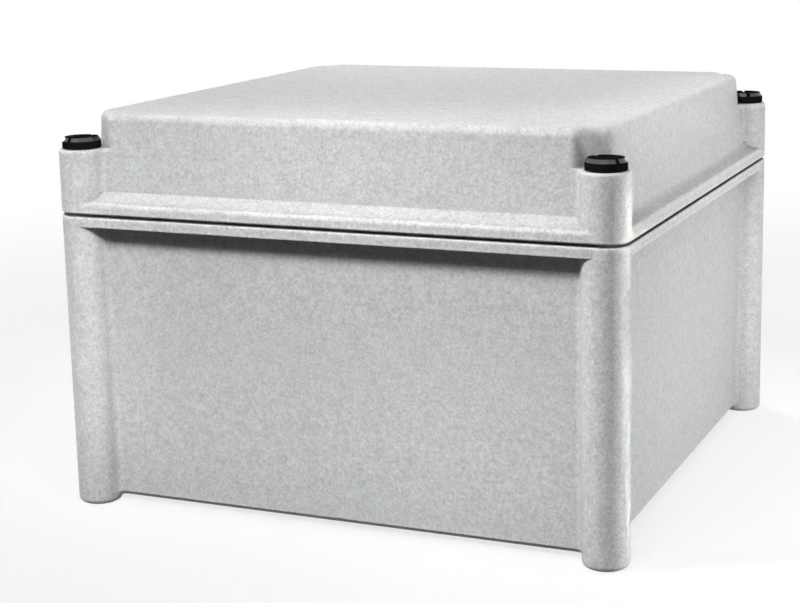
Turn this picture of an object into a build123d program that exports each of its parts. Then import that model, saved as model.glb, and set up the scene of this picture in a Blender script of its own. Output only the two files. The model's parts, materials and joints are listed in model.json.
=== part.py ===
from build123d import *
import os
from math import radians, tan

# Glass-fibre polyester enclosure: a base with four corner columns, a lift-off lid
# with a post over each column, captive lid screws, a seal and a mounting plate.
# Millimetres, +Z up, X along the front, Y from front to back. The origin is the
# middle of the plan, on the ground that the column feet stand on.

# Overall form
width = 270.0               # over the flange, the same along X and Y
column_r = 10.5             # columns and lid posts at the parting plane
column_draft_deg = 0.15
parting_z = 137.5           # top of the base flange
seam = 1.2                  # open joint seen between base and lid
blend_r = 3.5               # hollow round between a column and its walls
edge_bevel = 0.6            # eased edges of the two flanges
flush = 0.05                # flange faces behind the columns

# Base
foot_h = 3.0                # column feet below the floor
foot_round = 2.7
rim_h = 4.7                 # flange height
rim_overhang = 9.5          # flange beyond the wall
rim_lean = 0.4              # flange face set in at its lower edge
base_draft_deg = 0.85
base_wall = 4.0
floor_t = 4.0
floor_edge = 2.0            # bevel between floor and walls
tongue_t = 2.2              # upright rib on the base that the lid drops over
tongue_h = 4.0
tongue_gap = 0.7            # tongue to seal

# Lid
lip_h = 5.4                 # outer edge of the lid flange, with its round
lip_round = 2.0
ledge = 2.4                 # flange from its face to the foot of the sweep
cove_w = 6.6                # hollow sweep from the flange up to the raised tray
cove_h = 4.05
cove_r = 7.6
post_h = 30.1               # post tops above the parting plane
post_edge = 0.8             # bevel round a post top
lid_h = 46.1                # lid top above the parting plane
tray_draft_deg = 5.4
lid_wall = 3.5
top_round = 4.0
notch_gap = 2.3             # scooped tray corner beyond the post
notch_edge = 4.2            # round beside a scooped corner
post_wall = 1.6             # post skin on the inside of the lid

# Seal between base and lid
gasket_w = 4.0
gasket_t = 2.5
gasket_out = 2.0            # middle of the strip beyond the column axes
gasket_bend_r = 7.7         # middle of the strip round a column axis
gasket_fit = 0.15

# Lid screws
stud_r = 3.0
stud_engaged = 9.5          # stud inside the column insert
stud_tip = 0.8
stud_hold = 3.0             # stud inside the moulded head
stud_clear = 0.4            # stud to the hole in the lid
thread_clear = 0.06         # stud to the insert bore
head_r = 8.8
head_h = 4.9
head_bevel_w = 1.1
head_bevel_h = 1.6
head_gap = 0.4              # head above the post top
slot_w = 1.7
slot_depth = 1.6
slot_turns = {"fl": 83.0, "fr": -40.0, "rl": 20.0, "rr": -67.0}  # degrees, as the screws came to rest
seal_r = 5.5
seal_t = 1.5
seal_clear = 0.3
ring_r = 4.1                # ring that keeps a screw in the lid
ring_t = 1.0
ring_groove = 0.5
ring_clear = 0.3
ring_above_seam = 2.5
screw_rise = 10.0           # how far a released screw stands up

# Inserts moulded into the base
insert_r = 4.5
insert_l = 15.0
insert_sunk = 0.2
insert_fit = 0.03
foot_insert_bore_r = 2.5
drill_past = 2.0            # blind holes run past their insert

# Mounting plate
plate_w = 212.0
plate_t = 2.0
plate_corner_r = 6.0
plate_hole_inset = 11.0     # holes from the plate's edges, with the bosses under them
plate_hole_r = 2.8
boss_r = 7.0
boss_h = 8.0
boss_flare = 1.5
plate_insert_r = 3.6
plate_insert_l = 7.0
plate_screw_r = 2.5
plate_screw_l = 7.5
plate_head_r = 4.6
plate_head_h = 2.8
plate_drive_w = 1.2
plate_drive_depth = 1.3

# Places worked out from the sizes above
half = width / 2
axis = half - column_r
rim_z = parting_z - rim_h
seam_z = parting_z + seam
lip_z = seam_z + lip_h
tray_z = lip_z + cove_h
post_z = parting_z + post_h
lid_z = parting_z + lid_h
floor_z = foot_h + floor_t
boss_z = floor_z + boss_h
wall_half = half - rim_overhang
ledge_half = half - ledge
tray_half = ledge_half - cove_w
plate_hole = plate_w / 2 - plate_hole_inset
notch_r = column_r + notch_gap
flange_face = half - flush
flange_root = axis - 2 * column_r
gasket_mid = axis + gasket_out
gasket_top = parting_z + gasket_t
insert_top = parting_z - insert_sunk
stud_end = insert_top - stud_engaged
head_z = post_z + head_gap
ring_z = seam_z + ring_above_seam
bore_roof = ring_z + ring_t + screw_rise + ring_clear

corner_names = {"fl": (-1, -1), "fr": (1, -1), "rl": (-1, 1), "rr": (1, 1)}
column_axes = [(sx * axis, sy * axis) for sx, sy in corner_names.values()]
plate_axes = [(sx * plate_hole, sy * plate_hole) for sx, sy in corner_names.values()]
sides = (0, 90, 180, 270)


def at(points, shape):
    """Copies of a shape moved to each plan position."""
    return [Pos(x, y, 0) * shape for x, y in points]


def pillar(radius, z0, z1):
    """Upright cylinder between two heights on the Z axis."""
    return Pos(0, 0, z0) * Cylinder(radius, z1 - z0, align=(Align.CENTER, Align.CENTER, Align.MIN))


def tube(outer, inner, z0, z1):
    """Upright ring between two heights on the Z axis."""
    return pillar(outer, z0, z1) - pillar(inner, z0, z1)


def turned(*points):
    """Solid turned about Z from corner points (radius, height)."""
    return revolve(make_face(Plane.XZ * Polyline(*points, close=True)), Axis.Z)


def slab(sketch, z0, z1):
    """Plan outline raised between two heights."""
    return extrude(Pos(0, 0, z0) * sketch, z1 - z0)


def base_half(z):
    """Half the outer plan of the base walls at a height."""
    return wall_half - (rim_z - z) * tan(radians(base_draft_deg))


def lid_half(z):
    """Half the outer plan of the lid tray at a height."""
    return tray_half - (z - tray_z) * tan(radians(tray_draft_deg))


def column_radius(z):
    """Column or post radius at a height, drawn in below and above the two flanges."""
    beyond = max(rim_z - z, z - lip_z, 0)
    return column_r - beyond * tan(radians(column_draft_deg))


def rounded_meets(plan, half_side, radius):
    """Rounds the corners where the sides of a square plan meet its round corners."""
    meets = [
        v for v in plan.vertices()
        if min(abs(abs(v.X) - half_side), abs(abs(v.Y) - half_side)) < 0.001
    ]
    return fillet(meets, radius)


def column_plan(half_side, radius, blend):
    """Square with a round column at each corner and hollow rounds beside the columns."""
    plan = Rectangle(2 * half_side, 2 * half_side) + at(column_axes, Circle(radius))
    return rounded_meets(plan, half_side, blend)


def scooped_plan(half_side, radius):
    """Square with a round scoop at each corner, about the column axes."""
    return Rectangle(2 * half_side, 2 * half_side) - at(column_axes, Circle(radius))


def soft_scooped_plan(half_side, radius, edge):
    """Square with a round scoop at each corner and rounded edges beside the scoops."""
    return rounded_meets(scooped_plan(half_side, radius), half_side, edge)


def stack(plan, *levels):
    """Solid through plan outlines at rising heights, each level being (z, sizes...)."""
    return loft([Pos(0, 0, z) * plan(*sizes) for z, *sizes in levels], ruled=True)


def along_sides(profile, reach):
    """Closed profile (distance from the middle, height) run along the four sides."""
    bar = extrude(Plane.YZ * make_face(profile), reach, both=True)
    return [Rot(0, 0, turn) * bar for turn in sides]


def gasket_plan(spare):
    """Seal strip that passes inside the lid screws, widened by some spare on both sides."""
    reach = gasket_w / 2 + spare
    outer = scooped_plan(gasket_mid + reach, gasket_bend_r - reach)
    return outer - scooped_plan(gasket_mid - reach, gasket_bend_r + reach)


def column_foot():
    """Rounded end of a column, below the floor of the base."""
    r = column_radius(foot_h)
    bend = min(foot_round, 0.95 * foot_h)
    edge = Line((0, 0), (r - bend, 0))
    edge += RadiusArc((r - bend, 0), (r, bend), -bend)
    edge += Polyline((r, bend), (r, foot_h), (0, foot_h), (0, 0))
    return revolve(make_face(Plane.XZ * edge), Axis.Z)


def column_head():
    """Top of a column, between the flange and the parting plane."""
    return turned(
        (0, rim_z), (column_r, rim_z), (column_r, parting_z - edge_bevel),
        (column_r - edge_bevel, parting_z), (0, parting_z),
    )


def base_flange():
    """Flange along the sides, with a face that leans in towards its lower edge."""
    profile = Polyline(
        (flange_root, rim_z), (flange_face - rim_lean, rim_z), (flange_face, parting_z - edge_bevel),
        (flange_face - edge_bevel, parting_z), (flange_root, parting_z), close=True,
    )
    return along_sides(profile, axis)


def base_tongue():
    """Upright rib along each side of the base opening, narrower at its top."""
    outer = gasket_mid - gasket_w / 2 - tongue_gap
    inner = outer - tongue_t
    taper = tongue_t / 6
    tip_z = parting_z + tongue_h
    profile = Polyline(
        (inner, parting_z), (outer, parting_z), (outer - taper, tip_z), (inner + taper, tip_z), close=True,
    )
    return along_sides(profile, axis - column_r - tongue_h)


def base_shell():
    """Base moulding: walls, columns, feet, flange, tongue and plate bosses."""
    edge_z = foot_h + floor_edge
    outside = stack(
        column_plan,
        (foot_h, base_half(foot_h) - floor_edge, column_radius(foot_h), blend_r),
        (edge_z, base_half(edge_z), column_radius(edge_z), blend_r),
        (rim_z, base_half(rim_z), column_radius(rim_z), blend_r),
    )
    outside = outside + at(column_axes, column_foot() + column_head()) + base_flange()
    hollow = stack(
        scooped_plan,
        (floor_z, base_half(floor_z) - base_wall, column_radius(floor_z)),
        (parting_z, base_half(parting_z) - base_wall, column_radius(parting_z)),
    )
    shell = outside - hollow + base_tongue()
    boss = turned(
        (0, floor_z), (boss_r + boss_flare, floor_z), (boss_r, floor_z + boss_flare),
        (boss_r, boss_z), (0, boss_z),
    )
    shell = shell + at(plate_axes, boss)
    lid_hole = pillar(insert_r + insert_fit, insert_top - insert_l, parting_z)
    lid_hole += pillar(stud_r + stud_clear, insert_top - insert_l - drill_past, parting_z)
    foot_hole = pillar(insert_r + insert_fit, 0, insert_sunk + insert_l)
    foot_hole += pillar(foot_insert_bore_r, 0, insert_sunk + insert_l + drill_past)
    boss_hole = pillar(plate_insert_r + insert_fit, boss_z - plate_insert_l, boss_z)
    boss_hole += pillar(plate_screw_r + stud_clear, boss_z - plate_screw_l - insert_sunk, boss_z)
    return shell - at(column_axes, lid_hole) - at(column_axes, foot_hole) - at(plate_axes, boss_hole)


def lid_flange():
    """Flange along the sides of the lid: a rounded lip and a hollow sweep up to the foot of the tray."""
    round_foot = (flange_face, lip_z - lip_round)
    round_top = (flange_face - lip_round, lip_z)
    sweep_foot = (ledge_half, lip_z)
    sweep_top = (tray_half, tray_z)
    profile = Polyline(
        sweep_top, (flange_root, tray_z), (flange_root, seam_z), (flange_face - edge_bevel, seam_z),
        (flange_face, seam_z + edge_bevel), round_foot,
    )
    profile += RadiusArc(round_foot, round_top, -lip_round)
    profile += Line(round_top, sweep_foot)
    profile += RadiusArc(sweep_foot, sweep_top, cove_r)
    return along_sides(profile, axis)


def post_foot():
    """Lower end of a lid post, beside the flange."""
    return turned(
        (0, seam_z), (column_r - edge_bevel, seam_z), (column_r, seam_z + edge_bevel),
        (column_r, lip_z), (column_radius(tray_z), tray_z), (0, tray_z),
    )


def lid_tray():
    """Raised tray between the posts, scooped out at its corners above the post tops."""
    bevel_z = post_z - post_edge
    lower = stack(
        column_plan,
        (tray_z, lid_half(tray_z), column_radius(tray_z), blend_r),
        (bevel_z, lid_half(bevel_z), column_radius(bevel_z), blend_r),
        (post_z, lid_half(post_z), column_radius(post_z) - post_edge, blend_r),
    )
    upper = stack(
        soft_scooped_plan,
        (post_z, lid_half(post_z), notch_r, notch_edge), (lid_z, lid_half(lid_z), notch_r, notch_edge),
    )
    upper = fillet(upper.faces().sort_by(Axis.Z)[-1].edges(), top_round)
    return lower + upper


def lid_shell():
    """Lid moulding: flange with its sweep, tray, posts and the seat of the seal."""
    outside = lid_tray() + at(column_axes, post_foot()) + lid_flange()
    mouth_half = gasket_mid - gasket_w / 2 - gasket_fit
    shelf_z = post_z - lid_wall
    roof_z = lid_z - lid_wall
    mouth = slab(scooped_plan(mouth_half, column_r), seam_z, lip_z)
    lower = stack(
        scooped_plan,
        (lip_z, lid_half(lip_z) - lid_wall, column_r + post_wall),
        (shelf_z, lid_half(shelf_z) - lid_wall, column_r + post_wall),
    )
    upper = stack(
        scooped_plan,
        (shelf_z, lid_half(shelf_z) - lid_wall, notch_r + lid_wall),
        (roof_z, lid_half(roof_z) - lid_wall, notch_r + lid_wall),
    )
    seat = slab(gasket_plan(gasket_fit), seam_z, gasket_top)
    bore = pillar(stud_r + stud_clear, seam_z, post_z)
    bore += pillar(ring_r + ring_clear, seam_z, bore_roof)
    return outside - mouth - lower - upper - seat - at(column_axes, bore)


def screw_head(turn):
    """Moulded screw head with a bevelled edge, a turned driver slot and a recess for its seal."""
    top = head_z + head_h
    head = turned(
        (0, head_z), (head_r, head_z), (head_r, top - head_bevel_h), (head_r - head_bevel_w, top), (0, top),
    )
    recess = pillar(seal_r + seal_clear, head_z, post_z + seal_t)
    socket = pillar(stud_r + insert_fit, head_z, head_z + stud_hold)
    slot = Pos(0, 0, top - slot_depth / 2) * Box(2 * head_r, slot_w, slot_depth)
    return head - recess - socket - Rot(0, 0, turn) * slot


def screw_stud():
    """Metal stud from the head down into the column insert, with a groove for the ring."""
    top = head_z + stud_hold
    neck = stud_r - ring_groove
    return turned(
        (0, stud_end), (stud_r - stud_tip, stud_end), (stud_r, stud_end + stud_tip),
        (stud_r, ring_z), (neck, ring_z), (neck, ring_z + ring_t), (stud_r, ring_z + ring_t),
        (stud_r, top), (0, top),
    )


def screw_seal():
    """Rubber washer between a screw head and its post."""
    return tube(seal_r, stud_r + seal_clear, post_z, post_z + seal_t)


def captive_ring():
    """Ring in the stud's groove that stops the screw leaving the lid."""
    return tube(ring_r, stud_r - ring_groove + insert_fit, ring_z, ring_z + ring_t)


def plate():
    """Flat mounting plate on the bosses."""
    sheet = RectangleRounded(plate_w, plate_w, plate_corner_r) - at(plate_axes, Circle(plate_hole_r))
    return slab(sheet, boss_z, boss_z + plate_t)


def plate_screw():
    """Pan-head screw with a cross recess, through the plate into its insert."""
    seat = boss_z + plate_t
    top = seat + plate_head_h
    crown = plate_head_h / 3
    end = boss_z - plate_screw_l
    body = turned(
        (0, end), (plate_screw_r, end), (plate_screw_r, seat), (plate_head_r, seat),
        (plate_head_r, top - crown), (plate_head_r - crown, top), (0, top),
    )
    blade = Box(plate_head_r, plate_drive_w, plate_drive_depth)
    recess = Pos(0, 0, top - plate_drive_depth / 2) * (blade + Rot(0, 0, 90) * blade)
    return body - recess


def write(name, shape):
    """Exports one node."""
    shape.label = name
    export_step(shape, f"parts/{name}.step")


os.makedirs("parts", exist_ok=True)
write("base_shell", base_shell())
write("lid_shell", lid_shell())
write("lid_gasket", slab(gasket_plan(0), parting_z, gasket_top))
for corner, place in zip(corner_names, column_axes):
    write(f"screw_head_{corner}", at([place], screw_head(slot_turns[corner]))[0])
    write(f"screw_stud_{corner}", at([place], screw_stud())[0])
    write(f"screw_seal_{corner}", at([place], screw_seal())[0])
    write(f"captive_ring_{corner}", at([place], captive_ring())[0])
lid_insert = tube(insert_r, stud_r + thread_clear, insert_top - insert_l, insert_top)
write("lid_inserts", Compound(at(column_axes, lid_insert)))
foot_insert = tube(insert_r, foot_insert_bore_r, insert_sunk, insert_sunk + insert_l)
write("foot_inserts", Compound(at(column_axes, foot_insert)))
plate_insert = tube(plate_insert_r, plate_screw_r + insert_fit, boss_z - plate_insert_l, boss_z)
write("plate_inserts", Compound(at(plate_axes, plate_insert)))
write("mounting_plate", plate())
write("plate_screws", Compound(at(plate_axes, plate_screw())))
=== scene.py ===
import json
import math

import bpy
from mathutils import Matrix, Vector


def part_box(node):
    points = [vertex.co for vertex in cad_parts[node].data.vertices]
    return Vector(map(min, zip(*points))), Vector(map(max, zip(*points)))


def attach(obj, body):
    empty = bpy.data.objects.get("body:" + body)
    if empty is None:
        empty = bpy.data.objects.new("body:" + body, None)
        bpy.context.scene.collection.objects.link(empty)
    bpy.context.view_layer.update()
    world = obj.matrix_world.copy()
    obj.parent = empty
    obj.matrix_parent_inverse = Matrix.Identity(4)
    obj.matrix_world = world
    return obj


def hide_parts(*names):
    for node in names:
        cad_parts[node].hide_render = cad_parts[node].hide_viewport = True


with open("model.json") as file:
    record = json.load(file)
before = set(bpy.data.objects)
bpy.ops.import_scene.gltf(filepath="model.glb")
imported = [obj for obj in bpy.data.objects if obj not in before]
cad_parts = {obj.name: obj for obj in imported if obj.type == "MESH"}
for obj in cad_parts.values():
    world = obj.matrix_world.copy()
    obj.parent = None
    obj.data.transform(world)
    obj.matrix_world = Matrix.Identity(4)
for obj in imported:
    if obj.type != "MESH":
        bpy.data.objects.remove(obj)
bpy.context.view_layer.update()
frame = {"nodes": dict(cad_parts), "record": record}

# Light grey glass-fibre polyester enclosure on a white floor, in metres and degrees.

# Camera, with the lens and its sensor in millimetres
AZIMUTH = 22.95             # to the right of the front
ELEVATION = 10.88
ROLL = -1.08
DISTANCE = 0.8809
AIM = Vector((-0.0057, 0.0, 0.1086))
LENS = 79.18
SENSOR = 36.0
SHIFT = (-0.0375, -0.0769)
VIEW_END = 50.0             # what lies further away isn't drawn

# Floor and surroundings
WHITE = (1.0, 1.0, 1.0, 1.0)
AMBIENT = 0.02              # grey level of the surrounding light
FLOOR_SIZE = 12.0
FLOOR_SEEN = 0.86           # grey of the floor where it is looked at
FLOOR_BOUNCE = 0.04         # grey of the floor for the light it throws back on the object
FLOOR_ROUGHNESS = 0.9
FLOOR_WHITE = 0.75          # share of plain white in the floor beside the object
FLOOR_FADE = (0.35, 0.9)    # distance from the object's middle over which the floor turns plain white

# Lamps: how far they stand from the point that they light
LAMP_FAR = 3.0
LAMP_MIDDLE = 1.5
LAMP_ABOVE = 1.0
LAMP_NEAR = 0.9
WIDE_BEAM = 180.0
STRIP_LAMP = (0.25, 0.05)   # width and height of the strips at the rear and left

# Range of values that most of a noise texture falls in
TEXTURE_LOW = 0.3
TEXTURE_MIDDLE = 0.5
TEXTURE_HIGH = 0.7

# Polyester
POLYESTER_DARK = (0.405, 0.412, 0.409)
POLYESTER_PLAIN = (0.570, 0.580, 0.577)
POLYESTER_LIGHT = (0.725, 0.738, 0.738)
SPECKLE_SHARES = (0.60, 0.26, 0.14)     # of the fine grain, the fibres and the clouding
TOP_CONTRAST = 1.5          # stronger speckle on the lid top
TOP_START = 0.8             # upward part of the normal where the lid top begins
# Painted shade: the polyester is darkened in hollows, under the rims and in the trough beside the tray
HOLLOW_SHADE_REACH = 0.018        # how far apart the sides of a hollow are where it starts to darken
PAINTED_HOLLOW_SHADE = 0.5
# Painted highlight: the polyester is made paler along its outer edges
EDGE_HIGHLIGHT_REACH = 0.003          # how wide the paler edges are
PAINTED_EDGE_HIGHLIGHT = 0.7
# Painted shade: a dark line on the faces inside the open joint between base and lid
JOINT_REACH = 0.003         # depth of the dark line in the open joint
JOINT_SHADE = 0.65
JOINT_EDGE = 0.0001         # how far the line comes round the edges of the joint
PAINTED_LIGHT_SAMPLES = 8            # rays that look for hollows and edges
EASE_SAMPLES = 3            # rays that ease the edges, in every finish

# Other finishes
HEAD_BEVEL = (0.3, 0.9)     # upward part of the normal on the polished bevel of a screw head
HEAD_SHINE = (1.0, 0.93, 0.80, 1.0)     # warm tint of its reflections
RING_DARK = (0.66, 0.64, 0.58)
RING_LIGHT = (0.78, 0.76, 0.71)
BRASS_DARK = (0.62, 0.44, 0.17)
BRASS_LIGHT = (0.78, 0.60, 0.30)
STEEL_DARK = (0.52, 0.53, 0.54)
STEEL_LIGHT = (0.68, 0.69, 0.70)
ZINC_DARK = (0.54, 0.56, 0.58)
ZINC_LIGHT = (0.68, 0.70, 0.72)
FLAKE_RAGGED = 0.004        # how far the edges of the zinc flakes wander

# Threaded studs
CORNERS = ("fl", "fr", "rl", "rr")
THREAD_PITCH = 0.001
THREAD_DEPTH = 0.00054
THREAD_FLAT = 0.1           # flat share of the crest and of the root
THREAD_END = 0.0015         # plain shank below the ring
STUD_CHAMFER = 0.0008
NECK_R = 0.0025             # bottom of the ring groove
STUD_SIDES = 40
ROWS_PER_TURN = 10
SHARP_ANGLE = 40.0


def facing(azimuth, elevation):
    """Unit vector towards a direction, with azimuth 0 at the front and 90 at the right."""
    a = math.radians(azimuth)
    e = math.radians(elevation)
    return Vector((math.sin(a) * math.cos(e), -math.cos(a) * math.cos(e), math.sin(e)))


def clamped(value):
    """The value, held between 0 and 1."""
    return min(1.0, max(0.0, value))


def new_material(name):
    """A material with its node tree and its principled shader."""
    material = bpy.data.materials.new(name)
    material.use_nodes = True
    tree = material.node_tree
    return material, tree, tree.nodes["Principled BSDF"]


def set_inputs(tree, node, inputs):
    """Sets a node's inputs to values, or links them from other sockets."""
    for key, value in inputs.items():
        if isinstance(value, bpy.types.NodeSocket):
            tree.links.new(value, node.inputs[key])
        else:
            node.inputs[key].default_value = value


def add(tree, kind, inputs=None, **settings):
    """A new node with its settings and inputs."""
    node = tree.nodes.new(kind)
    for key, value in settings.items():
        setattr(node, key, value)
    set_inputs(tree, node, inputs or {})
    return node


def math_node(tree, operation, a, b):
    """Result of an operation on two values."""
    return add(tree, "ShaderNodeMath", {0: a, 1: b}, operation=operation).outputs[0]


def chain(tree, operation, values):
    """Result of an operation on the first value and the next, then on that and the one after."""
    result = values[0]
    for value in values[1:]:
        result = math_node(tree, operation, result, value)
    return result


def vector_math(tree, operation, a, b=(0.0, 0.0, 0.0), output="Vector"):
    """Result of an operation on vectors."""
    return add(tree, "ShaderNodeVectorMath", {0: a, 1: b}, operation=operation).outputs[output]


def remap(tree, value, low, high, start=0.0, end=1.0, **settings):
    """Brings a value's range, from start to end, to the range from low to high."""
    values = {"Value": value, "From Min": start, "From Max": end, "To Min": low, "To Max": high}
    return add(tree, "ShaderNodeMapRange", values, **settings).outputs[0]


def spread(tree, value, low, high):
    """Brings a texture's middle range to a range of values."""
    return remap(tree, value, low, high, TEXTURE_LOW, TEXTURE_HIGH)


def object_place(tree):
    """Place on the object, in metres."""
    return add(tree, "ShaderNodeTexCoord").outputs["Object"]


def height_part(tree, vector):
    """Upright part of a vector."""
    return add(tree, "ShaderNodeSeparateXYZ", {0: vector}).outputs["Z"]


def upward(tree):
    """Upright part of the surface's normal: 1 on level tops, 0 on upright walls."""
    return height_part(tree, add(tree, "ShaderNodeNewGeometry").outputs["True Normal"])


def noise(tree, place, scale, detail=2.0, roughness=0.5):
    """Cloudy texture with values about its middle."""
    values = {"Vector": place, "Scale": scale, "Detail": detail, "Roughness": roughness}
    return add(tree, "ShaderNodeTexNoise", values).outputs["Fac"]


def ramp(tree, value, *stops):
    """Colour ramp through (position, grey or colour) stops."""
    node = add(tree, "ShaderNodeValToRGB", {"Fac": value})
    elements = node.color_ramp.elements
    while len(elements) < len(stops):
        elements.new(TEXTURE_MIDDLE)
    for element, (position, colour) in zip(elements, stops):
        element.position = position
        rgb = colour if isinstance(colour, tuple) else (colour, colour, colour)
        element.color = (*rgb, 1.0)
    return node.outputs["Color"]


def tone(tree, value, dark, light):
    """Colour or grey that follows a texture's middle range from dark to light."""
    return ramp(tree, value, (TEXTURE_LOW, dark), (TEXTURE_HIGH, light))


def relief(tree, height, strength, distance, ease):
    """Normal of a surface relief, over edges that are eased by a fraction of a millimetre."""
    eased = add(tree, "ShaderNodeBevel", {"Radius": ease}, samples=EASE_SAMPLES).outputs[0]
    values = {"Height": height, "Strength": strength, "Distance": distance, "Normal": eased}
    return add(tree, "ShaderNodeBump", values).outputs["Normal"]


def nearness(tree, reach, inside=False):
    """1 on open surfaces, less where other surfaces are within reach, outside or inside the wall."""
    settings = {"samples": PAINTED_LIGHT_SAMPLES, "only_local": True, "inside": inside}
    return add(tree, "ShaderNodeAmbientOcclusion", {"Distance": reach}, **settings).outputs["AO"]


def painted_joint_shade(tree, place):
    """Mask of the painted shade in the open joint between base and lid: 1 on its outer faces, else 0.
    """
    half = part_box("base_shell")[1].x
    axis = sum(corner.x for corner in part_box("screw_head_fr")) / 2
    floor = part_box("lid_gasket")[0].z
    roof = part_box("lid_shell")[0].z
    # Distance outside the square through the screws, where taking 1 m off leaves out the height
    beyond = vector_math(tree, "SUBTRACT", vector_math(tree, "ABSOLUTE", place), (axis, axis, 1.0))
    out = vector_math(tree, "LENGTH", vector_math(tree, "MAXIMUM", beyond), output="Value")
    outer = math_node(tree, "GREATER_THAN", out, half - axis - JOINT_REACH)
    height = height_part(tree, place)
    above = math_node(tree, "GREATER_THAN", height, floor - JOINT_EDGE)
    below = math_node(tree, "LESS_THAN", height, roof + JOINT_EDGE)
    return chain(tree, "MULTIPLY", (outer, above, below))


def painted_light_tone(tree, place):
    """Share of the plain colour: painted highlights on the edges, painted shade in the hollows and in
    the joint.
    """
    # Painted shade in the hollows
    shade = remap(tree, nearness(tree, HOLLOW_SHADE_REACH), 1 - PAINTED_HOLLOW_SHADE, 1.0)
    # Painted highlight along the outer edges
    pale = remap(tree, nearness(tree, EDGE_HIGHLIGHT_REACH, inside=True), 1 + PAINTED_EDGE_HIGHLIGHT, 1.0)
    # Painted shade in the joint
    line = remap(tree, painted_joint_shade(tree, place), 1.0, 1 - JOINT_SHADE)
    return chain(tree, "MULTIPLY", (shade, pale, line))


def polyester():
    """Moulded glass-fibre polyester: fine speckle, faint clouding, painted highlights on edges, painted
    shade in hollows and the joint, and a pebbled skin.
    """
    material, tree, shader = new_material("polyester")
    place = object_place(tree)
    grain = noise(tree, place, scale=850.0, roughness=0.6)
    fibre = noise(tree, place, scale=330.0, roughness=0.6)
    cloud = noise(tree, place, scale=130.0, detail=3.0, roughness=0.55)
    pebble = noise(tree, place, scale=800.0, detail=3.0, roughness=0.55)
    layers = zip((grain, fibre, cloud), SPECKLE_SHARES)
    speckle = chain(tree, "ADD", [math_node(tree, "MULTIPLY", layer, share) for layer, share in layers])
    contrast = remap(tree, upward(tree), 1.0, TOP_CONTRAST, start=TOP_START)
    around = math_node(tree, "MULTIPLY", math_node(tree, "SUBTRACT", speckle, TEXTURE_MIDDLE), contrast)
    colour = ramp(
        tree,
        math_node(tree, "ADD", around, TEXTURE_MIDDLE),
        (TEXTURE_LOW, POLYESTER_DARK),
        (TEXTURE_MIDDLE, POLYESTER_PLAIN),
        (TEXTURE_HIGH, POLYESTER_LIGHT),
    )
    # Colour scaled by the painted shade and the painted highlights
    painted_light_scale = {0: colour, "Scale": painted_light_tone(tree, place)}
    set_inputs(tree, shader, {
        "Base Color": add(tree, "ShaderNodeVectorMath", painted_light_scale, operation="SCALE").outputs["Vector"],
        "Roughness": spread(tree, cloud, 0.45, 0.55),
        "Specular IOR Level": 0.3,
        "Normal": relief(tree, pebble, strength=0.10, distance=0.0002, ease=0.0008),
    })
    return material


def black_plastic():
    """Black moulded screw heads: matt tops and sides, and a polished bevel that catches the light."""
    material, tree, shader = new_material("black_plastic")
    grain = noise(tree, object_place(tree), scale=1800.0, detail=3.0, roughness=0.6)
    slope = upward(tree)
    above = math_node(tree, "GREATER_THAN", slope, HEAD_BEVEL[0])
    below = math_node(tree, "LESS_THAN", slope, HEAD_BEVEL[1])
    set_inputs(tree, shader, {
        "Base Color": tone(tree, grain, 0.005, 0.012),
        "Roughness": spread(tree, grain, 0.16, 0.22),
        "Specular IOR Level": math_node(tree, "MULTIPLY", above, below),
        "Specular Tint": HEAD_SHINE,
        "Normal": relief(tree, grain, strength=0.08, distance=0.0001, ease=0.0002),
    })
    return material


def rubber():
    """Black rubber washers with a dusty bloom."""
    material, tree, shader = new_material("rubber")
    place = object_place(tree)
    bloom = noise(tree, place, scale=500.0, detail=4.0, roughness=0.6)
    skin = noise(tree, place, scale=2500.0)
    set_inputs(tree, shader, {
        "Base Color": ramp(tree, bloom, (0.35, 0.014), (0.70, 0.035)),
        "Roughness": spread(tree, bloom, 0.55, 0.75),
        "Normal": relief(tree, skin, strength=0.15, distance=0.0001, ease=0.0002),
    })
    return material


def seal_foam():
    """Dark grey cellular rubber of the lid seal, with small open pores."""
    material, tree, shader = new_material("seal_foam")
    pores = {"Vector": object_place(tree), "Scale": 1600.0}
    cells = add(tree, "ShaderNodeTexVoronoi", pores).outputs["Distance"]
    set_inputs(tree, shader, {
        "Base Color": ramp(tree, cells, (0.05, 0.012), (0.45, 0.045), (0.90, 0.065)),
        "Roughness": spread(tree, cells, 0.9, 0.75),
        "Normal": relief(tree, cells, strength=0.5, distance=0.0002, ease=0.0003),
    })
    return material


def ring_plastic():
    """Milky plastic of the rings that keep the screws in the lid."""
    material, tree, shader = new_material("ring_plastic")
    milk = noise(tree, object_place(tree), scale=700.0, detail=3.0)
    set_inputs(tree, shader, {
        "Base Color": tone(tree, milk, RING_DARK, RING_LIGHT),
        "Roughness": spread(tree, milk, 0.35, 0.5),
        "Subsurface Weight": 0.3,
        "Subsurface Radius": (0.001, 0.001, 0.0008),
        "Subsurface Scale": 0.5,
    })
    return material


def metal(name, dark, light, rough, lines):
    """Machined metal: tool lines round the upright axis, with a faint change of tone and gloss."""
    material, tree, shader = new_material(name)
    place = object_place(tree)
    patch = noise(tree, place, scale=350.0, detail=4.0, roughness=0.6)
    values = {"Vector": place, "Scale": lines, "Distortion": 0.4, "Detail": 2.0}
    cut = add(tree, "ShaderNodeTexWave", values, bands_direction="Z").outputs["Fac"]
    set_inputs(tree, shader, {
        "Base Color": tone(tree, patch, dark, light),
        "Roughness": spread(tree, patch, *rough),
        "Metallic": 1.0,
        "Normal": relief(tree, cut, strength=0.12, distance=0.00005, ease=0.0002),
    })
    return material


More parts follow.
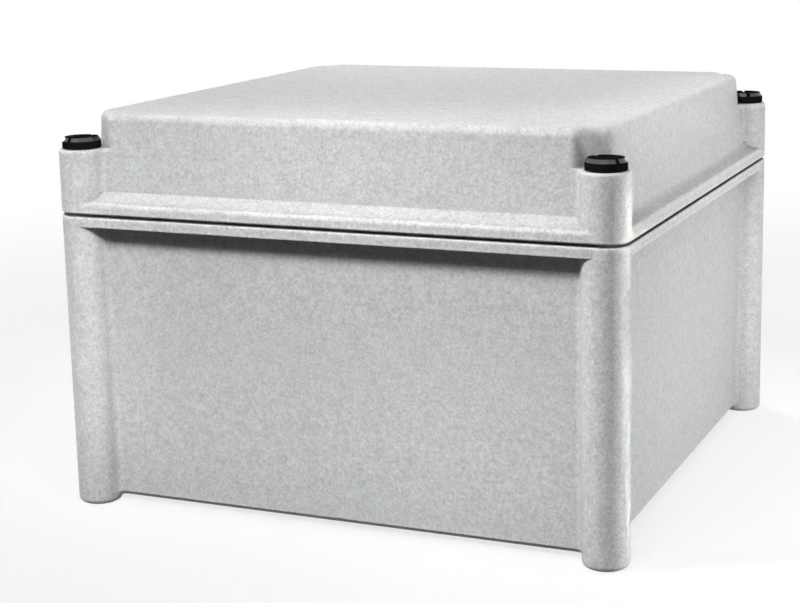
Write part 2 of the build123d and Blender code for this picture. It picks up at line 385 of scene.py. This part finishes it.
def galvanised():
    """Zinc-coated sheet: patchy spangle, each flake with its own tone and gloss."""
    material, tree, shader = new_material("galvanised")
    place = object_place(tree)
    skin = noise(tree, place, scale=900.0, detail=3.0)
    bend = add(tree, "ShaderNodeTexNoise", {"Vector": place, "Scale": 120.0}).outputs["Color"]
    ragged = vector_math(tree, "MULTIPLY", bend, (FLAKE_RAGGED, FLAKE_RAGGED, FLAKE_RAGGED))
    moved = vector_math(tree, "ADD", place, ragged)
    flakes = add(tree, "ShaderNodeTexVoronoi", {"Vector": moved, "Scale": 190.0}).outputs["Color"]
    flake = add(tree, "ShaderNodeSeparateColor", {0: flakes}).outputs["Red"]
    set_inputs(tree, shader, {
        "Base Color": ramp(tree, flake, (0.0, ZINC_DARK), (1.0, ZINC_LIGHT)),
        "Roughness": remap(tree, flake, 0.38, 0.48),
        "Metallic": 1.0,
        "Normal": relief(tree, skin, strength=0.08, distance=0.0001, ease=0.0002),
    })
    return material


def make_camera():
    """Camera that matches the viewing angle, lens and framing of the picture."""
    data = bpy.data.cameras.new("camera")
    data.lens = LENS
    data.sensor_width = SENSOR
    data.shift_x, data.shift_y = SHIFT
    data.clip_end = VIEW_END
    back = facing(AZIMUTH, ELEVATION)
    level = Vector((-back.y, back.x, 0.0)).normalized()
    upright = back.cross(level)
    turn = math.radians(ROLL)
    right = math.cos(turn) * level + math.sin(turn) * upright
    up = back.cross(right)
    camera = bpy.data.objects.new("camera", data)
    camera.matrix_world = Matrix((right, up, back)).transposed().to_4x4()
    camera.location = AIM + DISTANCE * back
    bpy.context.collection.objects.link(camera)
    bpy.context.scene.camera = camera


def softbox(name, place, aim, size, radiance, beam=WIDE_BEAM):
    """Rectangular lamp at a place, aimed at a point and set by the brightness of its face."""
    data = bpy.data.lights.new(name, "AREA")
    data.shape = "RECTANGLE"
    data.size, data.size_y = size
    data.energy = radiance * math.pi * size[0] * size[1]
    data.spread = math.radians(beam)
    lamp = bpy.data.objects.new(name, data)
    lamp.location = place
    lamp.rotation_mode = "QUATERNION"
    lamp.rotation_quaternion = (aim - place).to_track_quat("-Z", "Y")
    bpy.context.collection.objects.link(lamp)


def lamp_at(name, aim, azimuth, elevation, distance, size, radiance, beam=WIDE_BEAM):
    """Lamp in a direction from the point it lights."""
    softbox(name, aim + distance * facing(azimuth, elevation), aim, size, radiance, beam)


def light_front():
    """High key lamp, one for the foot of the wall, and narrow lamps that model the front columns."""
    front = Vector((0.0, -0.13, 0.10))
    wall = Vector((-0.01, -0.125, 0.025))
    left_column = Vector((-0.125, -0.13, 0.10))
    right_column = Vector((0.125, -0.13, 0.10))
    column_edge = Vector((0.135, -0.124, 0.08))
    lamp_at("key", front, 0.0, 46.0, LAMP_FAR, (2.4, 0.6), 13.0)
    lamp_at("wall", wall, 0.0, 38.0, LAMP_MIDDLE, (0.22, 0.04), 1.0, 6.5)
    lamp_at("cross_left", right_column, -60.0, 33.0, LAMP_NEAR, (0.12, 0.12), 2.3, 22.0)
    lamp_at("cross_right", left_column, 54.0, 33.0, LAMP_NEAR, (0.12, 0.12), 0.9, 16.0)
    lamp_at("column_edge", column_edge, 118.0, 7.0, LAMP_NEAR, (0.02, 0.17), 0.9, 3.0)
    softbox("left_column", Vector((0.13, -0.50, 0.42)), left_column, (0.03, 0.14), 0.5, 8.0)


def light_right():
    """Low lamps for the right wall, and narrow ones for the rear column and the edge of the tray."""
    right = Vector((0.13, 0.0, 0.09))
    rear_column = Vector((0.13, 0.112, 0.07))
    tray_edge = Vector((0.118, 0.0, 0.182))
    softbox("right_low", Vector((0.40, -0.02, 0.06)), right, (0.16, 0.10), 11.5)
    softbox("right_back", Vector((0.55, 0.40, 0.18)), right, (0.20, 0.20), 4.8)
    lamp_at("rear_column", rear_column, 20.0, 9.0, LAMP_NEAR, (0.03, 0.12), 0.5, 6.0)
    lamp_at("tray_edge", tray_edge, 90.0, 38.0, LAMP_NEAR, (0.20, 0.02), 0.65, 3.5)


def light_top():
    """Strip that shines on the screw heads, a soft overhead lamp and one for the rear of the lid."""
    top = Vector((0.0, 0.0, 0.18))
    lid_rear = Vector((0.0, 0.08, 0.18))
    lamp_at("heads", top, 20.0, 76.0, LAMP_ABOVE, (0.7, 0.05), 12.0)
    softbox("overhead", Vector((0.0, 0.45, 1.00)), top, (0.80, 0.60), 1.4)
    lamp_at("lid_rear", lid_rear, 232.0, 50.0, LAMP_MIDDLE, STRIP_LAMP, 0.15, 11.0)


def light_back_and_left():
    """Wide lamps and strips for the two sides that face away from the camera."""
    back = Vector((0.0, 0.13, 0.07))
    left = Vector((-0.13, 0.0, 0.07))
    lamp_at("back", back, 170.0, 12.0, LAMP_FAR, (1.2, 0.6), 2.0)
    lamp_at("back_wall", back, 232.0, 25.0, LAMP_MIDDLE, STRIP_LAMP, 4.8, 13.0)
    lamp_at("left", left, -115.0, 15.0, LAMP_FAR, (0.6, 0.6), 15.0)
    lamp_at("left_wall", left, -90.0, 4.0, LAMP_MIDDLE, STRIP_LAMP, 3.0, 13.0)


def seen_directly(tree):
    """1 where a ray comes from the camera, a reflection or clear glass, else 0."""
    path = add(tree, "ShaderNodeLightPath")
    rays = [path.outputs[f"Is {kind} Ray"] for kind in ("Camera", "Glossy", "Transmission")]
    return chain(tree, "MAXIMUM", rays)


def make_world():
    """Even surrounding light that shows as plain white."""
    world = bpy.data.worlds.new("world")
    bpy.context.scene.world = world
    world.use_nodes = True
    tree = world.node_tree
    level = remap(tree, seen_directly(tree), AMBIENT, 1.0)
    set_inputs(tree, tree.nodes["Background"], {"Color": WHITE, "Strength": level})


def floor_finish():
    """Pale matt floor that keeps the object's shadow and turns plain white further out."""
    material, tree, shader = new_material("floor")
    seen = seen_directly(tree)
    set_inputs(tree, shader, {
        "Base Color": remap(tree, seen, FLOOR_BOUNCE, FLOOR_SEEN),
        "Roughness": FLOOR_ROUGHNESS,
        "Specular IOR Level": 0.0,
    })
    away = vector_math(tree, "LENGTH", object_place(tree), output="Value")
    fade = remap(tree, away, FLOOR_WHITE, 1.0, *FLOOR_FADE, interpolation_type="SMOOTHSTEP")
    white = add(tree, "ShaderNodeEmission", {"Color": WHITE, "Strength": 1.0})
    share = math_node(tree, "MULTIPLY", fade, seen)
    mix = add(tree, "ShaderNodeMixShader", {0: share, 1: shader.outputs[0], 2: white.outputs[0]})
    set_inputs(tree, tree.nodes["Material Output"], {"Surface": mix.outputs[0]})
    return material


def make_floor():
    """Square floor under the object."""
    half = FLOOR_SIZE / 2
    corners = [(-half, -half, 0.0), (half, -half, 0.0), (half, half, 0.0), (-half, half, 0.0)]
    mesh = bpy.data.meshes.new("floor")
    mesh.from_pydata(corners, [], [(0, 1, 2, 3)])
    mesh.materials.append(floor_finish())
    floor = bpy.data.objects.new("floor", mesh)
    bpy.context.collection.objects.link(floor)


def dress(node, material):
    """Gives a CAD node its finish."""
    slots = frame["nodes"][node].data.materials
    slots.clear()
    slots.append(material)


def thread_depth(turns, below_top):
    """Depth of the rolled thread below its crest, fading out at its upper end."""
    across = abs(2 * (turns % 1.0) - 1)
    valley = clamped((across - THREAD_FLAT) / (1 - 2 * THREAD_FLAT))
    return THREAD_DEPTH * valley * clamped(below_top / THREAD_PITCH)


def stud_rows(low, high, radius, ring_low, ring_high):
    """Rows (height, radius at each angle) up a stud: chamfer, thread, shank and ring groove."""
    top = ring_low - THREAD_END
    rows = []
    steps = round((top - low) / THREAD_PITCH * ROWS_PER_TURN)
    for i in range(steps + 1):
        z = low + (top - low) * i / steps
        limit = radius - max(0.0, STUD_CHAMFER - (z - low))
        turns = [(z - low) / THREAD_PITCH - k / STUD_SIDES for k in range(STUD_SIDES)]
        rows.append((z, [min(limit, radius - thread_depth(turn, top - z)) for turn in turns]))
    groove = [(ring_low, radius), (ring_low, NECK_R), (ring_high, NECK_R), (ring_high, radius)]
    return rows + [(z, [r] * STUD_SIDES) for z, r in groove + [(high, radius)]]


def turned_mesh(name, rows, centre):
    """Closed mesh through rows of points round an upright axis."""
    points = []
    for z, radii in rows:
        for k, r in enumerate(radii):
            angle = 2 * math.pi * k / STUD_SIDES
            points.append((centre.x + r * math.cos(angle), centre.y + r * math.sin(angle), z))
    faces = [tuple(reversed(range(STUD_SIDES)))]
    for i in range(len(rows) - 1):
        for k in range(STUD_SIDES):
            a = i * STUD_SIDES + k
            b = i * STUD_SIDES + (k + 1) % STUD_SIDES
            faces.append((a, b, b + STUD_SIDES, a + STUD_SIDES))
    faces.append(tuple(range(len(points) - STUD_SIDES, len(points))))
    mesh = bpy.data.meshes.new(name)
    mesh.from_pydata(points, [], faces)
    mesh.polygons.foreach_set("use_smooth", [True] * len(mesh.polygons))
    mesh.set_sharp_from_angle(angle=math.radians(SHARP_ANGLE))
    return mesh


def threaded_stud(corner, finish):
    """Stud with its thread, shown in place of the plain CAD stud."""
    name = f"threaded_stud_{corner}"
    node = f"screw_stud_{corner}"
    low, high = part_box(node)
    ring_low, ring_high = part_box(f"captive_ring_{corner}")
    rows = stud_rows(low.z, high.z, (high.x - low.x) / 2, ring_low.z, ring_high.z)
    mesh = turned_mesh(name, rows, (low + high) / 2)
    mesh.materials.append(finish)
    stud = bpy.data.objects.new(name, mesh)
    bpy.context.collection.objects.link(stud)
    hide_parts(node)
    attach(stud, f"screw_{corner}")


finishes = {
    "grp": polyester(),
    "black_plastic": black_plastic(),
    "rubber": rubber(),
    "seal_foam": seal_foam(),
    "ring_plastic": ring_plastic(),
    "brass": metal("brass", BRASS_DARK, BRASS_LIGHT, rough=(0.26, 0.40), lines=3000.0),
    "screw_steel": metal("screw_steel", STEEL_DARK, STEEL_LIGHT, rough=(0.28, 0.42), lines=2500.0),
    "plate_steel": galvanised(),
}
for part in frame["record"]["subparts"]:
    dress(part["node"], finishes[part["material_slot"]])
for corner in CORNERS:
    threaded_stud(corner, finishes["screw_steel"])

make_camera()
make_world()
make_floor()
light_front()
light_right()
light_top()
light_back_and_left()

scene = bpy.context.scene
scene.view_settings.view_transform = "Standard"
